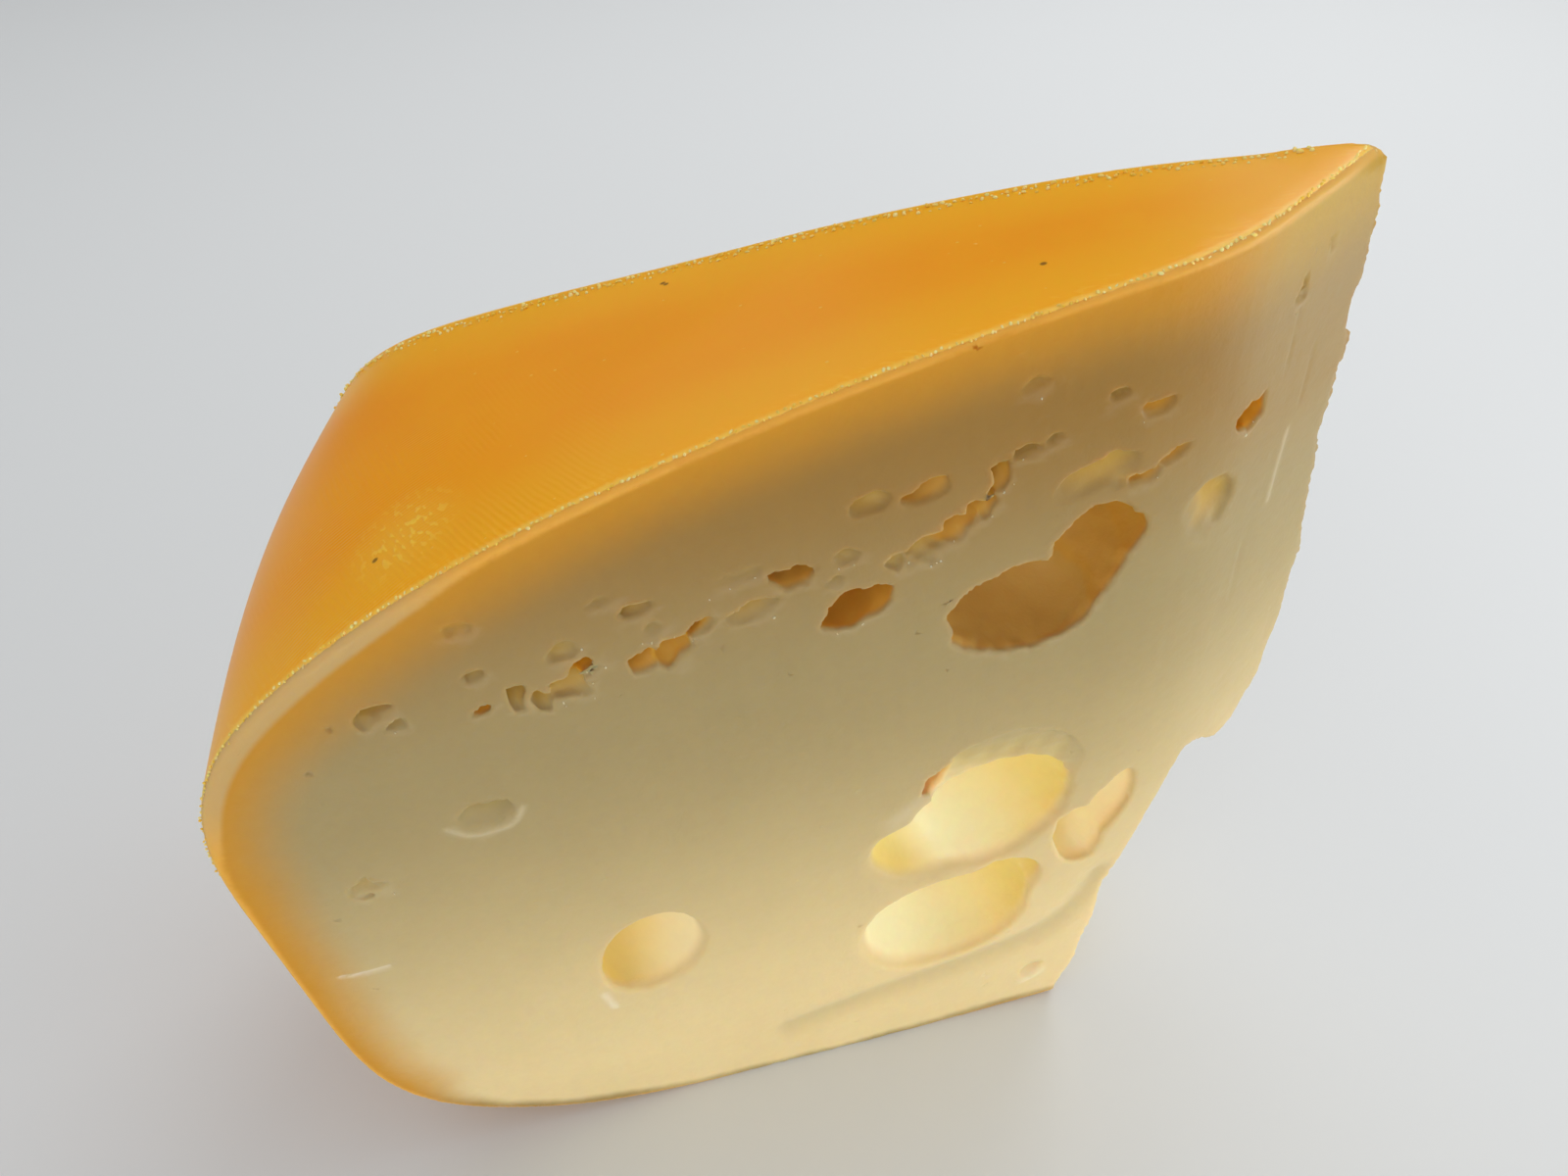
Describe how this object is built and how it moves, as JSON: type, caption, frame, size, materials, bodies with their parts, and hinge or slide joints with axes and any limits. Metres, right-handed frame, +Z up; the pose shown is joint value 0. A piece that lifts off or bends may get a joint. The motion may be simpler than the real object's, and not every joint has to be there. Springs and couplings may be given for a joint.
{
  "type": "cheese wedge",
  "caption": "Wedge of holey semi-hard cheese cut from a round coated wheel, standing on its underside with the wide cut face to the front.",
  "frame": {"origin": "middle of the box's footprint, at the height of the flat underside on which the wedge stands", "axes": "+Z up, as the wedge stands; the wide cut face lies in a plane that looks along -Y; +X from the coated rim towards the broken tip"},
  "size_m": [0.1292, 0.0588, 0.12],
  "materials": {
    "cheese": "waxy"
  },
  "bodies": {
    "root": {"cheese_wedge": "cheese"}
  },
  "joints": []
}
